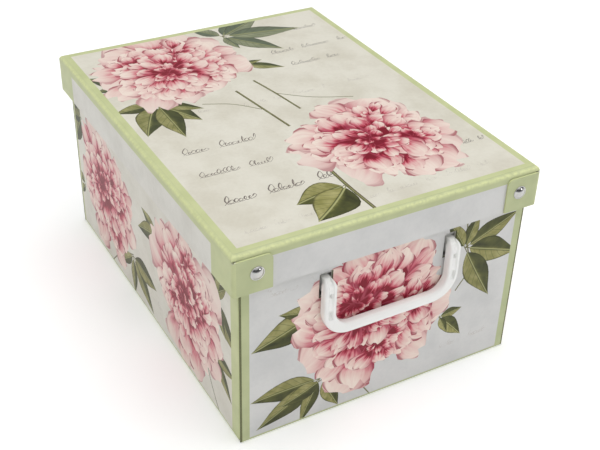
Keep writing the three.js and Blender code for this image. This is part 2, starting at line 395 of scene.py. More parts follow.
def plastic_material():
    """Glossy white moulded plastic, with the faintest sink marks and handling haze."""
    m = Nodes("white_moulding")
    haze = m.noise(m.place(), 90.0, 3.0)
    sink = m.noise(m.place(), 60.0, 1.0)
    return m.surface(colour=m.mix(haze, (247, 246, 243), (239, 239, 237)),
                     roughness=m.step(haze, 0.3, 0.7, 0.16, 0.26), normal=m.bump(sink, 0.0004, 0.25))


def floor_material():
    m = Nodes("studio_paper")
    tooth = m.noise(m.place(), 3.0, 3.0)
    return m.surface(colour=m.mix(tooth, (252, 252, 252), (248, 248, 248)), roughness=0.9,
                     glow=(1.0, 1.0, 1.0, 1.0), glow_strength=0.18)


PETAL_FULLNESS = 1.45
PETAL_BLUNTNESS = 0.62
LEAF_FULLNESS = 0.74
LEAF_BLUNTNESS = 1.2
SHARP_ANGLE = math.radians(38)
STUD_HOLE = 3.7
GAP_SHADOW_WIDTH = 1.3
PAST_EVERY_EDGE = 300
KINDS = ["field", "green", "petal", "leaf", "stem", "ink", "ghost", "lining", "edge", "gap_shadow"]
PRINT = [
    field_material(), green_material(), petal_material(), leaf_material(), stem_material(), ink_material(),
    ghost_material(), lining_material(), edge_material(), gap_shadow_material(),
]
STEEL = steel_material()
PLASTIC = plastic_material()


# ---- printed shapes, flat, in millimetres ----

# One printed shape: its outline, the place it starts from, its length and half-width as vectors, and what its
# material needs to know.
Motif = namedtuple("Motif", "kind outline origin along across seed depth pale curve")


def heading(angle, length=1.0):
    return Vector((math.cos(angle), math.sin(angle))) * length


def bladed(kind, base, tip, width, curve, fullness, bluntness, wobble, notch, rng, depth, pale):
    """A petal or leaf from base to tip: its half-width follows sin(pi * x^fullness)^bluntness."""
    base = Vector(base)
    along = Vector(tip) - base
    across = Vector((-along.y, along.x)).normalized() * width / 2
    steps = 14
    phase = rng.uniform(0, 2 * math.pi)
    cleft = rng.uniform(-0.3, 0.3)
    places = [(1 - math.cos(math.pi * step / steps)) / 2 for step in range(steps + 1)]
    outline = []
    for side, run in ((1, places), (-1, reversed(places[1:-1]))):
        for x in run:
            half = max(math.sin(math.pi * x ** fullness), 0) ** bluntness
            ripple = 1 + wobble * x * math.sin(11 * x + phase + 2 * side)
            y = side * half * ripple
            frill = notch * x ** 5 * (0.4 * math.sin(8 * y + phase) - math.exp(-((y - cleft) / 0.22) ** 2))
            outline.append(base + along * (x + frill) + across * (y + curve * x * x))
    return Motif(kind, outline[::-1], base, along, across, rng.uniform(0, 9), depth, pale, curve)


def petal(base, angle, length, width, rng, depth, pale=0.0):
    curve = rng.uniform(-0.6, 0.6)
    tip = Vector(base) + heading(angle, length)
    return bladed("petal", base, tip, width, curve, PETAL_FULLNESS, PETAL_BLUNTNESS, 0.24,
                  rng.uniform(0.04, 0.22), rng, depth, pale)


def leaf(base, tip, width, rng, depth=0.0, pale=0.0, curve=0.3):
    return bladed("leaf", base, tip, width, curve, LEAF_FULLNESS, LEAF_BLUNTNESS, 0.06, 0.0, rng, depth, pale)


# Whorls of one bloom, from the outside in: how many petals, and, as shares of the bloom's radius, how far
# their bases are from the middle, their length and their width. Then how deep their colour is, and how far
# they are washed out.
WHORLS = [
    (10, 0.50, 0.52, 0.48, 0.00, 0.50),
    (12, 0.48, 0.45, 0.40, 0.05, 0.18),
    (14, 0.44, 0.38, 0.31, 0.12, 0.00),
    (15, 0.36, 0.34, 0.27, 0.16, 0.00),
    (14, 0.28, 0.31, 0.24, 0.20, 0.00),
    (12, 0.19, 0.28, 0.20, 0.28, 0.00),
    (10, 0.10, 0.23, 0.15, 0.46, 0.00),
    (8, 0.02, 0.17, 0.11, 0.70, 0.00),
]


def whorl(middle, radius, row, rng):
    count, reach, length, width, depth, pale = row
    start = rng.uniform(0, 2 * math.pi)
    petals = []
    for number in range(count):
        angle = start + 2 * math.pi * number / count + rng.uniform(-0.2, 0.2)
        base = Vector(middle) + heading(angle, radius * (reach + rng.uniform(-0.07, 0.07)))
        size = radius * rng.uniform(0.7, 1.3)
        turn = angle + rng.uniform(-0.6, 0.6)
        deeper = depth + rng.uniform(-0.14, 0.2)
        broad = width * size * rng.uniform(0.75, 1.25)
        petals.append(petal(base, turn, length * size, broad, rng, deeper, pale))
    rng.shuffle(petals)
    return petals


def peony(middle, radius, heart, seed, tufts=2, faded=0.0):
    """A double bloom. Its whorls draw in towards the heart, with tufts of small deep petals beside it."""
    rng = random.Random(seed)
    middle = Vector(middle)
    heart = Vector(heart)
    motifs = [backing(middle.lerp(heart, 0.5), radius * 0.68, seed)]
    for level, row in enumerate(WHORLS):
        centre = middle.lerp(heart, (level / (len(WHORLS) - 1)) ** 1.3)
        motifs += whorl(centre, radius, row, rng)
        if level == 3:
            for number in range(tufts):
                away = (middle - heart).normalized() if (middle - heart).length > 1 else Vector((1, 0))
                angle = math.atan2(away.y, away.x) + (number - (tufts - 1) / 2) * 1.5
                motifs += tuft(middle + heading(angle, radius * 0.44), radius, rng)
    return [motif._replace(pale=motif.pale + faded, depth=motif.depth - faded / 2) for motif in motifs]


def backing(middle, radius, seed):
    """Deep colour behind the petals, so that no ground shows between them."""
    outline = [Vector(point) for point in ring(middle.x, middle.y, radius)]
    return Motif("petal", outline, middle, Vector((1000, 0)), Vector((0, 1000)), seed, 0.2, 0.0, 0.0)


def tuft(middle, radius, rng):
    outer = whorl(middle, radius, (9, 0.10, 0.24, 0.19, 0.20, 0.0), rng)
    inner = whorl(middle, radius, (6, 0.02, 0.16, 0.11, 0.50, 0.0), rng)
    return outer + inner


def spray(base, tips, seed, width=0.42, depth=0.0, pale=0.0):
    """Leaves that fan out from one point, each on a short stalk."""
    rng = random.Random(seed)
    motifs = []
    for tip in tips:
        reach = Vector(tip) - Vector(base)
        start = Vector(base) + reach * 0.08
        motifs += stem([base, start], 0.9, seed)
        motifs.append(leaf(start, tip, reach.length * width * rng.uniform(0.85, 1.1), rng,
                           depth + rng.uniform(0, 0.3), pale, rng.uniform(-0.35, 0.35)))
    return motifs


def ribbon(kind, points, widths, seed):
    """A drawn line of changing width, as one four-sided shape for each stretch."""
    points = [Vector(point) for point in points]
    normals = [Vector((0, 1))]
    for index in range(len(points)):
        before = points[max(index - 1, 0)]
        after = points[min(index + 1, len(points) - 1)]
        forward = after - before
        turned = Vector((-forward.y, forward.x)).normalized()
        normals.append(turned if forward.length > 0.05 else normals[-1])
    normals.pop(0)
    motifs = []
    for index in range(len(points) - 1):
        first, second = points[index], points[index + 1]
        left = normals[index] * widths[index] / 2
        right = normals[index + 1] * widths[index + 1] / 2
        outline = anticlockwise([first + left, first - left, second - right, second + right])
        if area(outline) > 0.004:
            motifs.append(Motif(kind, outline, first, second - first, left, seed, 0.0, 0.0, 0.0))
    return motifs


def anticlockwise(corners):
    """The corners in order round their middle, so that no two sides cross."""
    middle = sum(corners, Vector((0, 0))) / len(corners)
    return sorted(corners, key=lambda corner: math.atan2(corner.y - middle.y, corner.x - middle.x))


def area(outline):
    pairs = zip(outline, outline[1:] + outline[:1])
    return sum(a.x * b.y - b.x * a.y for a, b in pairs) / 2


def stem(points, width, seed):
    """A smooth stem through three or more points, or a straight one through two."""
    if len(points) > 2:
        points = smoothed(points, 6)
    return ribbon("stem", points, [width] * len(points), seed)


def smoothed(points, steps):
    """A smooth line through the points, by Catmull and Rom's rule."""
    points = [Vector(point) for point in points]
    padded = [2 * points[0] - points[1]] + points + [2 * points[-1] - points[-2]]
    line = []
    for index in range(1, len(padded) - 2):
        a, b, c, d = padded[index - 1:index + 3]
        for step in range(steps):
            t = step / steps
            line.append(0.5 * (2 * b + (c - a) * t + (2 * a - 5 * b + 4 * c - d) * t ** 2
                               + (3 * b - a - 3 * c + d) * t ** 3))
    line.append(points[-1])
    return line


def scrawl(kind, start, length, height, slope, weight, rng):
    """A run of looping pen strokes: the rhythm of old handwriting, with no letters in it."""
    pitch = height * 0.34
    knots = []
    for beat in range(max(3, round(length / pitch))):
        tall = height * (1.0 if beat == 0 else rng.choice((0.36, 0.4, 0.44, 0.48, 0.9)))
        swing = rng.uniform(0.35, 1.0) * pitch
        for quarter in range(4):
            turn = QUARTER * quarter
            forward = pitch * (beat + quarter / 4) + swing * math.sin(turn)
            knots.append((forward, tall * (1 - math.cos(turn)) / 2))
    line = smoothed(knots, 4)
    points = [(start[0] + p.x + 0.4 * p.y, start[1] + p.y + slope * p.x) for p in line]
    widths = []
    for before, after in zip(line, line[1:] + line[-1:]):
        step = after - before
        falling = max(0.0, -step.y / step.length) if step.length > 0 else 0.0
        widths.append(weight * (0.42 + 0.58 * falling))
    return ribbon(kind, points, widths, 0.0)


def writing(kind, start, length, height, slope, weight, seed):
    """A line of scrawls with gaps between them."""
    rng = random.Random(seed)
    motifs = []
    x = 0.0
    while x < length - height:
        word = min(rng.uniform(1.6, 4.2) * height, length - x)
        place = (start[0] + x, start[1] + slope * x)
        motifs += scrawl(kind, place, word, height, slope, weight, rng)
        x += word + height * rng.uniform(0.9, 1.3)
    return motifs


# ---- the three prints ----

def laid_out(lines, stems, sprays, blooms):
    """A whole print, lowest layer first, from rows of what each drawing function is given."""
    motifs = []
    for draw, rows in ((writing, lines), (stem, stems), (spray, sprays), (peony, blooms)):
        for row in rows:
            motifs += draw(*row)
    return motifs


def top_print():
    return laid_out(
        lines=[
            ("ghost", (-118, -165), 225, 7, 0.0, 0.7, 41), ("ghost", (-30, 12), 140, 7, 0.02, 0.7, 42),
            ("ghost", (-118, 20), 70, 7, 0.0, 0.7, 43), ("ink", (-112, -42), 76, 11, -0.02, 0.85, 1),
            ("ink", (-114, -80), 64, 8.5, -0.03, 0.75, 2), ("ink", (-114, -124), 98, 11.5, 0.0, 1.1, 3),
            ("ink", (66, 140), 56, 7, 0.0, 0.5, 4), ("ink", (44, 98), 84, 8, 0.02, 0.55, 5),
            ("ink", (50, 68), 70, 8, 0.0, 0.6, 6), ("ink", (84, -129), 44, 6, 0.0, 0.6, 7),
        ],
        stems=[
            ([(-60, 34), (-36, 22), (-17, 2)], 0.9, 1), ([(7, 25), (34, 3), (68, -13)], 0.9, 2),
            ([(-22, 44), (-16, 4), (-10, -36)], 2.2, 3), ([(2, 56), (8, 26), (14, -12)], 2.0, 4),
            ([(-8, -80), (-15, -106), (-16, -140), (-14, -182)], 3.2, 5),
        ],
        sprays=[
            ((19, 157), [(-3, 190), (44, 190), (74, 186)], 11, 0.42, 0.1, 0.85),
            ((19, 157), [(22, 124), (60, 104), (100, 146)], 12, 0.36, 0.05, 0.8),
            ((8, 92), [(42, 68), (30, 92)], 13, 0.36, 0.0, 0.2),
            ((-104, 96), [(-134, 128), (-136, 96)], 14, 0.5, 0.5, 0.5),
            ((-98, 52), [(-136, 52), (-128, 2), (-70, 8)], 15, 0.42, 0.1, 0.15),
            ((-96, 50), [(-96, -14), (-60, 28)], 16, 0.38, 0.2, 0.1),
            ((-16, -140), [(-66, -143), (-58, -180)], 17, 0.62),
        ],
        blooms=[
            ((-56, 113), 75, (-62, 104), 5, 3, 0.05), ((46, -84), 74, (38, -86), 8, 2),
        ],
    )


def end_print():
    motifs = laid_out(
        lines=[
            ("ghost", (-116, 168), 180, 7, 0.0, 0.7, 51), ("ghost", (-112, 140), 60, 7, 0.0, 0.7, 52),
            ("ghost", (60, 24), 60, 7, 0.05, 0.7, 53),
        ],
        stems=[
            ([(74, 152), (77, 128), (82, 104), (70, 84)], 1.3, 6),
            ([(-36, 26), (-20, 16), (-6, -4)], 1.1, 7),
        ],
        sprays=[
            ((75, 127), [(128, 148), (132, 106)], 21, 0.4, 0.1),
            ((75, 126), [(84, 160), (56, 160), (106, 66)], 22, 0.36, 0.2),
            ((56, 61), [(80, 62), (83, 34), (66, 40)], 23, 0.42),
            ((-62, 112), [(-122, 88), (-100, 118)], 24, 0.42, 0.1),
            ((-60, 40), [(-124, 42), (-118, 6), (-80, -2)], 25, 0.36, 0.15),
            ((-58, 38), [(-96, 22), (-42, 2)], 26, 0.4, 0.25),
        ],
        blooms=[
            ((-8, 88), 74, (-28, 106), 23, 2, -0.3),
        ],
    )
    # Painted shadow: a dark strip down each side edge, standing in for the shadow in the gap beside the side
    # walls.
    for hand in (-1, 1):
        strip = span(hand * END_HALF, hand * (END_HALF - GAP_SHADOW_WIDTH), "u", PAST_EVERY_EDGE)
        outline = [Vector(corner) for corner in strip]
        motifs.append(Motif("gap_shadow", outline, outline[0], Vector((1, 0)), Vector((0, 1)), 0, 0, 0, 0))
    return motifs


def side_print():
    return laid_out(
        lines=[
            ("ghost", (-170, 150), 300, 7, 0.0, 0.7, 61), ("ghost", (-20, 24), 80, 7, 0.0, 0.7, 62),
        ],
        stems=[
            ([(-39, 46), (-70, 30), (-100, 2)], 1.2, 8), ([(120, 52), (128, 26), (150, -6)], 1.2, 9),
        ],
        sprays=[
            ((-40, 44), [(-74, 18), (-40, -2), (6, 6), (16, 42)], 31, 0.36, 0.15),
            ((26, 106), [(-10, 116), (-22, 92), (16, 84)], 32, 0.42, 0.1),
            ((138, 122), [(164, 142), (150, 156), (176, 84), (160, 90)], 33, 0.4, 0.2),
            ((138, 62), [(168, 28), (176, 60)], 34, 0.32, 0.1),
            ((-160, 132), [(-190, 96), (-192, 158), (-188, 128)], 35, 0.5, 0.5),
            ((-168, 52), [(-186, 66), (-184, 36)], 36, 0.5, 0.2),
        ],
        blooms=[
            ((-100, 79), 70, (-110, 84), 33, 2, -0.3), ((84, 80), 72, (78, 74), 37, 2, -0.1),
        ],
    )


# ---- folding and building a sheet ----

def folded(past, radius, depth):
    """How far on and how far in a point is, `past` mm round a fold and `depth` mm under the outer face."""
    if past <= 0:
        return past, depth
    turn = min(past / radius, QUARTER)
    reach = radius - depth
    return reach * math.sin(turn), radius - reach * math.cos(turn) + past - turn * radius


def lid_place(u, v, depth):
    """The lid's sheet: u is x and v is y on the top, and both run on round the folds and down the rims."""
    side = abs(u) - LID_STRAIGHT_X
    end = abs(v) - LID_STRAIGHT_Y
    wrap = abs(v) - (TAB_FACE - TAB_FOLD)
    x, y, down = abs(u), abs(v), depth
    if side > 0:
        on, down = folded(side, LID_FOLD, depth)
        x = LID_STRAIGHT_X + on
    if end > 0 and side <= LID_FOLD_ARC + 0.01:
        on, end_down = folded(end, LID_FOLD, depth)
        y = LID_STRAIGHT_Y + on
        down = depth + mitred(down - depth, end_down - depth, LID_FOLD - depth)
    elif wrap > 0:
        round_corner, inwards = folded(wrap, TAB_FOLD, depth)
        x = LID_SIDE - inwards
        y = TAB_FACE - TAB_FOLD + round_corner
    return math.copysign(x, u), math.copysign(y, v), LID_TOP - down


def mitred(first, second, limit):
    """How far down two folds that meet at a corner bring the sheet. The crease between them is softened."""
    return max(first, second, min((first ** 4 + second ** 4) ** 0.25, limit))


def side_place(u, v, depth):
    """The left wall: u runs towards the front and v up from the floor. The ends wrap round the corners."""
    up, inwards = folded(WALL_FOLD - v, WALL_FOLD, depth)
    along, wrapped = folded(abs(u) - (WALL_REACH - WALL_FOLD), WALL_FOLD, depth)
    along += WALL_REACH - WALL_FOLD
    inwards = max(inwards, wrapped)
    return inwards - SIDE_FACE, -math.copysign(along, u), WALL_FOLD - up


def end_place(u, v, depth):
    """The front wall: u runs to the right and v up from the floor."""
    up, inwards = folded(WALL_FOLD - v, WALL_FOLD, depth)
    return u, inwards - END_FACE, WALL_FOLD - up


def tab_place(u, v, depth):
    return u, depth - TAB_FACE, v


def rectangle(left, bottom, right, top):
    return [(left, bottom), (right, bottom), (right, top), (left, top)]


def ring(x, y, radius, steps=32):
    return [(x + radius * math.cos(2 * math.pi * k / steps), y + radius * math.sin(2 * math.pi * k / steps))
            for k in range(steps)]


def fold_rows(start, radius, reach, across, sign=1, steps=6):
    """Lines across a sheet, one at each step of a fold that begins at `start`."""
    rows = []
    for step in range(steps + 1):
        place = sign * (start + radius * QUARTER * step / steps)
        line = [(place, -reach), (place, reach)]
        rows.append(line if across == "u" else [(v, u) for u, v in line])
    return rows


def cut_sheet(outline, holes, fields, motifs, rows):
    """Cuts the sheet along everything drawn on it. Returns its points, and its triangles with their motif:
    a Motif, or the name of the plain ground."""
    polygons = [outline, *holes, *fields, *(motif.outline for motif in motifs)]
    points = []
    faces = []
    for polygon in polygons:
        faces.append(list(range(len(points), len(points) + len(polygon))))
        points += [Vector((x, y)) for x, y in polygon]
    edges = []
    for row in rows:
        edges.append((len(points), len(points) + 1))
        points += [Vector(point) for point in row]
    found = delaunay_2d_cdt(points, edges, faces, 1, 1e-5, True)
    first_field = 1 + len(holes)
    first_motif = first_field + len(fields)
    triangles = []
    for corners, sources in zip(found[2], found[5]):
        if 0 not in sources or any(1 <= source < first_field for source in sources):
            continue
        on_field = any(first_field <= source < first_motif for source in sources)
        highest = max(sources)
        motif = motifs[highest - first_motif] if highest >= first_motif else None
        if motif and (on_field or motif.kind == "gap_shadow"):
            triangles.append((corners, motif))
        else:
            triangles.append((corners, "field" if on_field else "green"))
    return found[0], triangles


def motif_values(point, motif, crease, painted_shade):
    """What the materials read at one corner: the place inside the motif, and the motif's tones."""
    if isinstance(motif, str):
        return (0.0, 0.0, 0.0), (crease(point.x, point.y), painted_shade, 0.0)
    offset = point - motif.origin
    along = offset.dot(motif.along) / motif.along.length_squared
    across = offset.dot(motif.across) / motif.across.length_squared
    tone = (motif.depth, painted_shade if motif.kind == "ghost" else motif.pale, motif.curve)
    return (along, across, motif.seed), tone


def evenly(value):
    return lambda u, v: value


def used_only(points, triangles):
    """Drops the points that no triangle uses: the corners of motifs that run past the board's edge."""
    used = sorted({corner for corners, motif in triangles for corner in corners})
    renumbered = {old: new for new, old in enumerate(used)}
    kept = [(tuple(renumbered[corner] for corner in corners), motif) for corners, motif in triangles]
    return [points[old] for old in used], kept


def build_sheet(name, place, outline, fields, motifs=(), rows=(), holes=(), painted_shade_at=None, crease=None,
                cut="edge"):
    """A folded, printed board: print outside, lining inside, and along its cut edges the material that `cut`
    names. `painted_shade_at` and `crease` each give a number for a place on the sheet: its painted shade, and
    its painted fold highlight."""
    painted_shade_at = painted_shade_at or evenly(0.0)
    crease = crease or evenly(0.0)
    flat, triangles = used_only(*cut_sheet(outline, holes, fields, motifs, rows))
    count = len(flat)
    verts = [place(p.x, p.y, 0.0) for p in flat] + [place(p.x, p.y, BOARD) for p in flat]
    faces = []
    kinds = []
    sheet = []
    where = []
    tones = []
    sides = {}
    for corners, motif in triangles:
        faces.append(corners)
        kinds.append(KINDS.index(motif if isinstance(motif, str) else motif.kind))
        middle = sum((flat[corner] for corner in corners), Vector((0, 0))) / 3
        painted_shade = painted_shade_at(middle.x, middle.y)
        for corner in corners:
            local, tone = motif_values(flat[corner], motif, crease, painted_shade)
            sheet.append((flat[corner].x, flat[corner].y, 0.0))
            where.append(local)
            tones.append(tone)
        sides.update(dict.fromkeys(zip(corners, corners[1:] + corners[:1])))
    outer = len(faces)
    faces += [tuple(count + corner for corner in reversed(face)) for face in faces]
    kinds += [KINDS.index("lining")] * outer
    for start, end in sides:
        if (end, start) not in sides:
            faces.append((end, start, count + start, count + end))
            kinds.append(KINDS.index(cut))
    mesh = new_mesh(name, verts, faces)
    corners_left = len(mesh.loops) - len(sheet)
    for label, values in (("sheet", sheet), ("motif", where), ("tone", tones)):
        layer = mesh.attributes.new(label, "FLOAT_VECTOR", "CORNER")
        filled = np.array(values + [(0.0, 0.0, 0.0)] * corners_left, np.float32)
        layer.data.foreach_set("vector", filled.ravel())
    for material in PRINT:
        mesh.materials.append(material)
    mesh.polygons.foreach_set("material_index", kinds)
    return shown(name, mesh)


def new_mesh(name, verts, faces):
    """A mesh from corners in millimetres."""
    mesh = bpy.data.meshes.new(name)
    mesh.from_pydata([[value * MM for value in vert] for vert in verts], [], faces)
    return mesh


def in_scene(name, data):
    thing = bpy.data.objects.new(name, data)
    bpy.context.scene.collection.objects.link(thing)
    return thing


def shown(name, mesh):
    mesh.validate()
    mesh.shade_smooth()
    mesh.set_sharp_from_angle(angle=SHARP_ANGLE)
    return in_scene(name, mesh)


def half_turned(piece, name):
    """A copy turned half a turn about the upright middle line: the other end, or the other side."""
    mesh = piece.data.copy()
    mesh.name = name
    for vert in mesh.vertices:
        vert.co = (-vert.co.x, -vert.co.y, vert.co.z)
    return in_scene(name, mesh)


def place_piece(piece, body, slot, *nodes):
    """Puts a piece on the body it rides on and hides the CAD nodes it stands for. `slot`, what it is made of,
    is not used.
    """
    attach(piece, body)
    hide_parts(*nodes)


# ---- boards ----

def mirrored(points):
    """A whole outline from the quarter where u and v are positive, going round from +u to +v."""
    right = points
    left = [(-u, v) for u, v in reversed(points)]
    low_left = [(-u, -v) for u, v in points]
    low_right = [(u, -v) for u, v in reversed(points)]
    return right + left + low_left + low_right


def lid_outline():
    """A cross: the top, four rims, a small square at each corner, and the long rims' ends that wrap round,
    each with a notch at its top."""
    wrap_start = TAB_FACE - TAB_FOLD
    wrap_end = wrap_start + TAB_FOLD * QUARTER
    slit = 0.15
    corner_u = LID_STRAIGHT_X + LID_FOLD_ARC
    corner_v = LID_STRAIGHT_Y + LID_FOLD_ARC
    wrap_top = corner_u + (LID_TOP - LID_FOLD - TAB_TOP)
    notch = wrap_top + NOTCH_DEPTH
    return mirrored([
        (LID_STRAIGHT_X + LID_DROP, wrap_end), (wrap_top, wrap_end), (wrap_top, wrap_start + 3.2),
        (notch, wrap_start + 2.8), (notch, wrap_start + 1.6), (wrap_top, wrap_start + 1.2),
        (wrap_top, wrap_start), (corner_u + slit, wrap_start), (corner_u + slit, LID_STRAIGHT_Y),
        (corner_u, LID_STRAIGHT_Y),
        (corner_u, corner_v), (LID_STRAIGHT_X, corner_v), (RIM_HALF, corner_v + slit),
        (RIM_HALF, LID_STRAIGHT_Y + LID_DROP),
    ])


def arc(radius, steps):
    return [(radius * math.cos(QUARTER * k / steps), radius * math.sin(QUARTER * k / steps))
            for k in range(steps + 1)]


def lid_crease(u, v):
    """1 in the middle of a lid fold and 0 where the fold ends. The green's painted fold highlight follows it.
    """
    side = max(abs(u) - LID_STRAIGHT_X, 0.0)
    end = max(abs(v) - LID_STRAIGHT_Y, 0.0)
    past = max(side, end) if side < LID_FOLD_ARC else side
    return max(0.0, 1 - abs(past - LID_FOLD_ARC / 2) / (LID_FOLD_ARC / 2))


def lid_painted_shade(u, v):
    """Painted shade: the rims are greyer and darker than the top, the end rims most of all."""
    if abs(v) > LID_STRAIGHT_Y and abs(u) < LID_STRAIGHT_X:
        return 1.0
    return 0.45 if abs(u) > LID_STRAIGHT_X else 0.0


def span(first, second, across, reach):
    """A rectangle from first to second across the sheet, `reach` to each side of the middle along it."""
    near, far = sorted((first, second))
    if across == "u":
        return rectangle(near, -reach, far, reach)
    return rectangle(-reach, near, reach, far)


def add_lid_shell():
    fields = [rectangle(-LID_SIDE + BORDER, -RIM_FACE + BORDER, LID_SIDE - BORDER, RIM_FACE - BORDER)]
    rows = []
    past = LID_DROP + 1
    for sign in (-1, 1):
        side, end = sign * LID_STRAIGHT_X, sign * LID_STRAIGHT_Y
        fields.append(span(side + sign * FOLD_BAND, side + sign * past, "u", TAB_FACE - RIM_GREEN_END))
        fields.append(span(end + sign * FOLD_BAND, end + sign * past, "v", TAB_FREE + 3))
        rows += fold_rows(LID_STRAIGHT_X, LID_FOLD, LID_STRAIGHT_Y + LID_FOLD_ARC, "u", sign)
        rows += fold_rows(LID_STRAIGHT_Y, LID_FOLD, LID_STRAIGHT_X + LID_FOLD_ARC, "v", sign)
        rows += wrap_rows(TAB_FACE - TAB_FOLD, TAB_FOLD, sign, LID_STRAIGHT_X + LID_FOLD_ARC,
                          LID_STRAIGHT_X + past)
    shell = build_sheet("lid_shell", lid_place, lid_outline(), fields, top_print(), rows, crease=lid_crease,
                        painted_shade_at=lid_painted_shade)
    place_piece(shell, "lid", "printed_board", "lid_top", "lid_rim_left", "lid_rim_right", "lid_rim_front",
                "lid_rim_rear")


def wrap_rows(start, radius, sign, near, far, steps=5):
    """Lines that let both side flaps wrap round a corner."""
    rows = []
    for step in range(steps):
        place = sign * (start + radius * QUARTER * step / steps)
        rows += [[(near, place), (far, place)], [(-far, place), (-near, place)]]
    return rows


def add_tabs():
    """The front tabs, and their half-turned copies at the rear."""
    for hand, name, other in ((-1, "front_left", "rear_right"), (1, "front_right", "rear_left")):
        corner = (hand * (TAB_FREE + TAB_CORNER), TAB_TOP - TAB_CORNER)
        curve = [Vector(corner) + heading(QUARTER + hand * QUARTER * k / 6, TAB_CORNER) for k in range(7)]
        crease = [(hand * TAB_CREASE, RIM_BOTTOM), (hand * TAB_CREASE, TAB_TOP)]
        outline = crease + [tuple(point) for point in curve] + [(hand * TAB_FREE, RIM_BOTTOM)]
        hole = ring(hand * SNAP_X, SNAP_Z, STUD_HOLE)
        # The tabs get the full painted shade, which darkens their green.
        tab = build_sheet(f"tab_{name}_board", tab_place, outline[::hand], [], holes=[hole],
                          painted_shade_at=evenly(1.0), cut="green")
        place_piece(tab, f"tab_{name}", "green_board", f"lid_tab_{name}")
        copy = half_turned(tab, f"tab_{other}_board")
        place_piece(copy, f"tab_{other}", "green_board", f"lid_tab_{other}")


def add_side_walls():
    straight = WALL_REACH - WALL_FOLD
    wrap = straight + WALL_FOLD * QUARTER
    foot = WALL_FOLD - WALL_FOLD * QUARTER
    right = [(straight, foot), (straight, WRAP_FOOT), (wrap, WRAP_FOOT), (wrap, WALL_TOP)]
    outline = [(-straight, foot)] + right + [(-wrap, WALL_TOP), (-wrap, WRAP_FOOT), (-straight, WRAP_FOOT)]
    field = rectangle(-straight + REAR_BORDER, FOOT_BORDER, straight - SIDE_BORDER, WALL_TOP + 1)
    rows = fold_rows(-WALL_FOLD, WALL_FOLD, straight, "v", -1)
    for sign in (-1, 1):
        for step in range(5):
            u = sign * (straight + WALL_FOLD * QUARTER * step / 5)
            rows.append([(u, WRAP_FOOT), (u, WALL_TOP)])
    # The side walls get a little painted shade.
    wall = build_sheet("side_board_left", side_place, outline, [field], side_print(), rows,
                       painted_shade_at=evenly(0.2))
    place_piece(wall, "box_body", "printed_board", "wall_left")
    place_piece(half_turned(wall, "side_board_right"), "box_body", "printed_board", "wall_right")


def add_end_walls():
    foot = WALL_FOLD - WALL_FOLD * QUARTER
    outline = rectangle(-END_HALF, foot, END_HALF, WALL_TOP)
    field = rectangle(-END_HALF + END_BORDER, FOOT_BORDER, END_HALF - END_BORDER, WALL_TOP + 1)
    holes = []
    for hand in (-1, 1):
        left = hand * SLOT_SPACING / 2 - SLOT_WIDTH / 2
        holes.append(rectangle(left, SLOT_TOP - SLOT_HEIGHT, left + SLOT_WIDTH, SLOT_TOP))
        holes.append(ring(hand * BODY_SNAP_X, BODY_SNAP_Z, STUD_HOLE))
    rows = fold_rows(-WALL_FOLD, WALL_FOLD, END_HALF, "v", -1)
    # The end walls get the full painted shade; their cut edges take the painted gap shadow.
    wall = build_sheet("end_board_front", end_place, outline, [field], end_print(), rows, holes,
                       painted_shade_at=evenly(1.0), cut="gap_shadow")
    place_piece(wall, "box_body", "printed_board", "end_wall_front")
    place_piece(half_turned(wall, "end_board_rear"), "box_body", "printed_board", "end_wall_rear")


def centre(node, axis):
    return (low(node, axis) + high(node, axis)) / 2


SNAP_X = abs(centre("lid_snap_cap_front_left", "x"))
SNAP_Z = centre("lid_snap_cap_front_left", "z")
BODY_SNAP_X = abs(centre("body_snap_cap_front_left", "x"))
BODY_SNAP_Z = centre("body_snap_cap_front_left", "z")


# ---- press-stud caps ----

def turned_mesh(name, profile, centre_point, axis_y, steps=72):
    """A round piece about a line along y. `profile` is [radius, how far out] from the back to the front."""
    verts = []
    faces = []
    for radius, out in profile:
        for step in range(steps):
            angle = 2 * math.pi * step / steps
            verts.append((centre_point[0] + radius * math.cos(angle), centre_point[1] + axis_y * out,
                          centre_point[2] + radius * math.sin(angle)))
    for level in range(len(profile) - 1):
        for step in range(steps):
            after = (step + 1) % steps
            a, b = level * steps + step, level * steps + after
            faces.append((a, b, b + steps, a + steps))
    faces.append(tuple(reversed(range(steps))))
    last = (len(profile) - 1) * steps
    faces.append(tuple(range(last, last + steps)))
    if axis_y > 0:
        faces = [tuple(reversed(face)) for face in faces]
    return new_mesh(name, verts, faces)


def cap_profile(radius, height):
    """A pressed dome: flat back, rolled rim, a shallow waist and an even crown."""
    rim = min(0.45, height * 0.4)
    bead = rim / 2
    waist = rim * 0.82
    crown = radius - 0.75
    profile = [(radius - 0.6, 0.0), (radius - bead, 0.02)]
    for step in range(1, 7):
        angle = math.pi * step / 7
        profile.append((radius - bead + bead * math.sin(angle), bead * (1 - math.cos(angle))))
    profile.append((crown, waist))
    for step in range(1, 20):
        left = 1 - step / 20
        profile.append((crown * left, waist + (height - waist) * (1 - left ** 2.2)))
    profile.append((0.1, height))
    return profile


def add_caps():
    for prefix, corner_body in (("lid_snap_cap", "tab_{}"), ("body_snap_cap", "box_body")):
        for end in ("front", "rear"):
            for side in ("left", "right"):
                node = f"{prefix}_{end}_{side}"
                out = -1 if end == "front" else 1
                inner = high(node, "y") if end == "front" else low(node, "y")
                height = high(node, "y") - low(node, "y")
                radius = (high(node, "z") - low(node, "z")) / 2
                middle = (centre(node, "x"), inner, centre(node, "z"))
                mesh = turned_mesh(f"stud_{node}", cap_profile(radius, height), middle, out)
                mesh.materials.append(STEEL)
                cap = shown(f"stud_{node}", mesh)
                place_piece(cap, corner_body.format(f"{end}_{side}"), "steel", node)


# ---- bail handles ----

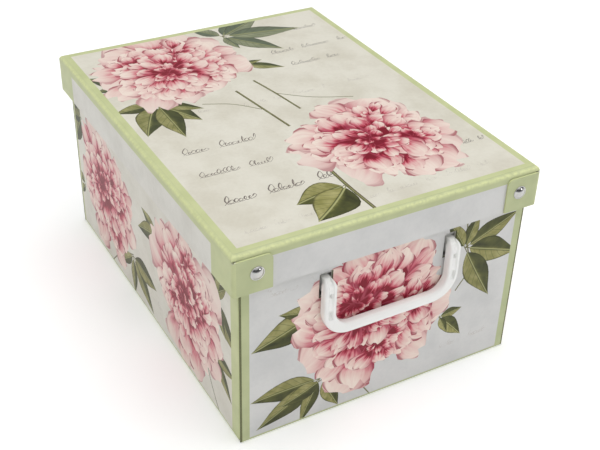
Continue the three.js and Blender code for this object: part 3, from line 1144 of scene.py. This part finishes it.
ARM_WIDTH = 11.0
GRIP_THICKNESS = 10.0
OUTER_BEND = 25.0
PIVOT_DEPTH = 1.65
HANDLE_FRONT = -low("handle_front", "y")
GRIP_BOTTOM = low("handle_front", "z")
ARM_OUTER = SLOT_SPACING / 2 + ARM_WIDTH / 2
PIVOT_Y = END_FACE - PIVOT_DEPTH
PIVOT_Z = SLOT_TOP - SLOT_HEIGHT / 2
BARREL = HANDLE_FRONT - PIVOT_Y
HANDLE_DEPTH = HANDLE_FRONT - END_FACE - 0.6
BEND_Z = GRIP_BOTTOM + OUTER_BEND
MIDDLE_BEND = OUTER_BEND - GRIP_THICKNESS / 2
BEND_END = PIVOT_Z - BEND_Z + QUARTER * MIDDLE_BEND
HOOK_START = 75
HOOK_EASE = 75
CHANNEL_DEPTH = 1.6
CHANNEL_HALF_WIDTH = 2.4
PIT_DEPTH = 3.0
PIT_HALF_WIDTH = 1.9
# Each pit: how far along the bail from the pivot it is, and half its length.
PITS = ((7.0, 2.6), (25.0, 5.5))
SECTION_POINTS = 96
BARREL_WIDTH = 7.0
HOOK_DROP = 3.4
CROSS_BAR_RADIUS = 1.8
CROSS_BAR_LENGTH = 18.0
CROSS_BAR_REACH = 8.5

# One place along the bail: its middle, the direction towards the outside of the U, the direction away from
# the box, its width, and how far along it is from the pivot.
Station = namedtuple("Station", "middle outwards forwards width along")


def bail_stations():
    """The bail from slot to slot: round the pivot, down the arm, round the bend, across and back up."""
    x = SLOT_SPACING / 2
    hook_radius = BARREL - HANDLE_DEPTH / 2
    inner_centre = ARM_OUTER - ARM_WIDTH - (OUTER_BEND - GRIP_THICKNESS)
    outer_centre = ARM_OUTER - OUTER_BEND
    left, front = Vector((-1, 0, 0)), Vector((0, -1, 0))
    front_y = -(HANDLE_FRONT - HANDLE_DEPTH / 2)
    half = []
    for step in range(24):
        angle = math.radians(HOOK_START + (180 - HOOK_START) * step / 24)
        forwards = Vector((0, math.cos(angle), math.sin(angle)))
        sunk = eased((math.pi - angle) / math.radians(HOOK_EASE))
        middle = Vector((-x, -PIVOT_Y, PIVOT_Z)) + forwards * (hook_radius - HOOK_DROP * sunk)
        width = ARM_WIDTH + (BARREL_WIDTH - ARM_WIDTH) * sunk
        half.append(Station(middle, left, forwards, width, -hook_radius * (math.pi - angle)))
    for step in range(40):
        drop = (PIVOT_Z - BEND_Z) * step / 40
        half.append(Station(Vector((-x, front_y, PIVOT_Z - drop)), left, front, ARM_WIDTH, drop))
    for step in range(65):
        angle = QUARTER * step / 64
        spread = Vector((-math.cos(angle), 0, -math.sin(angle)))
        outer = Vector((-outer_centre, front_y, BEND_Z)) + spread * OUTER_BEND
        inner = Vector((-inner_centre, front_y, BEND_Z)) + spread * (OUTER_BEND - GRIP_THICKNESS)
        across = outer - inner
        half.append(Station((outer + inner) / 2, across.normalized(), front, across.length,
                            PIVOT_Z - BEND_Z + angle * MIDDLE_BEND))
    for step in range(1, 31):
        moved = outer_centre * step / 30
        middle = Vector((-outer_centre + moved, front_y, GRIP_BOTTOM + GRIP_THICKNESS / 2))
        half.append(Station(middle, Vector((0, 0, -1)), front, GRIP_THICKNESS, BEND_END + moved))
    return half + [mirror_station(station) for station in reversed(half[:-1])]


def mirror_station(station):
    flip = Vector((-1, 1, 1))
    return station._replace(middle=station.middle * flip, outwards=station.outwards * flip)


def eased(value):
    value = min(max(value, 0.0), 1.0)
    return value * value * (3 - 2 * value)


def groove_depth(across, along):
    """The moulded channel down the front of the hook and the arm, and the pits in it."""
    middle = eased((CHANNEL_HALF_WIDTH - abs(across)) / 0.8)
    channel = CHANNEL_DEPTH * middle * eased((along + 13) / 4) * eased((34 - along) / 26)
    pits = 0.0
    for pit, reach in PITS:
        near = ((along - pit) / reach) ** 2 + (across / PIT_HALF_WIDTH) ** 2
        pits += PIT_DEPTH * max(0.0, 1 - near) ** 0.5
    return channel + pits


def bail_section(station):
    """The closed section at one station: boxy with soft corners on the arms, rounder on the grip."""
    blend = eased((station.along - (PIVOT_Z - BEND_Z)) / 32)
    power = 4.6 + (2.7 - 4.6) * blend
    section = []
    for index in range(SECTION_POINTS):
        angle = 2 * math.pi * (index + 0.5) / SECTION_POINTS
        cosine, sine = math.cos(angle), math.sin(angle)
        across = station.width / 2 * math.copysign(abs(cosine) ** (2 / power), cosine)
        out = HANDLE_DEPTH / 2 * math.copysign(abs(sine) ** (2 / power), sine)
        if sine > 0:
            out -= groove_depth(across, station.along)
        section.append(station.middle + station.outwards * across + station.forwards * out)
    return section


def lofted(name, sections):
    """A closed piece through rings of the same number of points, with a flat face at each end."""
    count = len(sections[0])
    verts = [point for section in sections for point in section]
    faces = [tuple(range(count)), tuple(range(len(verts) - count, len(verts)))]
    for level in range(0, len(verts) - count, count):
        for index in range(count):
            a, b = level + index, level + (index + 1) % count
            faces.append((a, b, b + count, a + count))
    mesh = new_mesh(name, verts, faces)
    form = bmesh.new()
    form.from_mesh(mesh)
    bmesh.ops.recalc_face_normals(form, faces=form.faces)
    form.to_mesh(mesh)
    form.free()
    return in_scene(name, mesh)


def round_bar(name, middle, radius, length, ease, steps):
    """A bar along x with eased edges."""
    ends = [(-length / 2 + ease * (1 - x), radius - ease * (1 - y)) for x, y in arc(1.0, 4)]
    sections = []
    turns = [2 * math.pi * step / steps for step in range(steps)]
    for x, reach in ends + [(-x, reach) for x, reach in reversed(ends)]:
        offsets = [Vector((x, reach * math.cos(turn), reach * math.sin(turn))) for turn in turns]
        sections.append([Vector(middle) + offset for offset in offsets])
    return lofted(name, sections)


def united(pieces, name):
    """The pieces as one closed mesh."""
    whole = pieces[0]
    for part in pieces[1:]:
        joining = whole.modifiers.new("join", "BOOLEAN")
        joining.operation = "UNION"
        joining.solver = "EXACT"
        joining.object = part
    graph = bpy.context.evaluated_depsgraph_get()
    mesh = bpy.data.meshes.new_from_object(whole.evaluated_get(graph))
    mesh.name = name
    for part in pieces:
        bpy.data.objects.remove(part)
    return mesh


def add_handles():
    parts = [lofted("bail_sweep", [bail_section(station) for station in bail_stations()])]
    behind = PIVOT_DEPTH + 0.3 + CROSS_BAR_RADIUS
    above = math.sqrt(CROSS_BAR_REACH ** 2 - behind ** 2)
    for hand in (-1, 1):
        x = hand * SLOT_SPACING / 2
        pivot = (x, -PIVOT_Y, PIVOT_Z)
        held = (x, behind - PIVOT_Y, PIVOT_Z + above)
        parts.append(round_bar("barrel", pivot, BARREL - HOOK_DROP - 0.4, BARREL_WIDTH - 0.04, 1.0, 96))
        parts.append(round_bar("cross_bar", held, CROSS_BAR_RADIUS, CROSS_BAR_LENGTH, 0.5, 32))
    mesh = united(parts, "bail_front")
    mesh.materials.clear()
    mesh.materials.append(PLASTIC)
    handle = shown("bail_front", mesh)
    place_piece(handle, "bail_front", "white_plastic", "handle_front")
    place_piece(half_turned(handle, "bail_rear"), "bail_rear", "white_plastic", "handle_rear")


# ---- the CAD nodes that stay ----

def finish_cad_nodes():
    """The plain inner boards and the hidden stud parts keep their CAD shape and get their real finish."""
    for name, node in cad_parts.items():
        material = STEEL if "snap" in name else PRINT[KINDS.index("lining")]
        node.data.materials.clear()
        node.data.materials.append(material)


# ---- floor, light and camera ----

DARK_BAND_HEIGHT = 0.36
DARK_BAND_HALF = 0.14


def add_floor():
    mesh = bpy.data.meshes.new("studio_floor")
    form = bmesh.new()
    bmesh.ops.create_grid(form, x_segments=8, y_segments=8, size=6.0)
    form.to_mesh(mesh)
    form.free()
    mesh.materials.append(floor_material())
    in_scene("studio_floor", mesh)


def add_light(name, kind, energy, colour, towards, place=(0, 0, 0), **shape):
    light = bpy.data.lights.new(name, kind)
    light.energy = energy
    light.color = colour
    for key, value in shape.items():
        setattr(light, key, value)
    lamp = in_scene(name, light)
    lamp.location = place
    lamp.rotation_euler = Vector(towards).to_track_quat("-Z", "Y").to_euler()


def add_world():
    """A pale room with a darker band part of the way up, for the plated studs to reflect."""
    m = Nodes("studio", bpy.data.worlds, "Background")
    height = m.split(m.add("ShaderNodeTexCoord").outputs["Generated"])[2]
    from_band = m.size(m.minus(height, DARK_BAND_HEIGHT))
    bpy.context.scene.world = m.surface(background=(0.97, 0.985, 1.0, 1.0), strength=m.step(
        from_band, DARK_BAND_HALF, DARK_BAND_HEIGHT, 0.1, 0.95))


def add_studio():
    add_world()
    add_light("ceiling", "SUN", 1.1, (1.0, 0.985, 0.95), (-0.1, 0.08, -0.99), angle=math.radians(60))
    softbox = Vector((1.1, -1.2, 0.8))
    add_light("front_softbox", "AREA", 1.5, (0.98, 0.99, 1.0), Vector((0, 0, 0.1)) - softbox, softbox,
              shape="DISK", size=0.35)
    bpy.context.scene.view_settings.view_transform = "Standard"


def add_camera():
    camera = bpy.data.cameras.new("camera")
    camera.lens = 63.82
    camera.sensor_width = 36.0
    camera.clip_start = 0.01
    view = in_scene("camera", camera)
    view.location = (-0.4028, -0.7371, 0.6275)
    view.rotation_euler = [math.radians(angle) for angle in (56.07, -1.33, -29.16)]
    bpy.context.scene.camera = view


add_camera()
add_studio()
add_floor()
finish_cad_nodes()
add_lid_shell()
add_tabs()
add_side_walls()
add_end_walls()
add_caps()
add_handles()
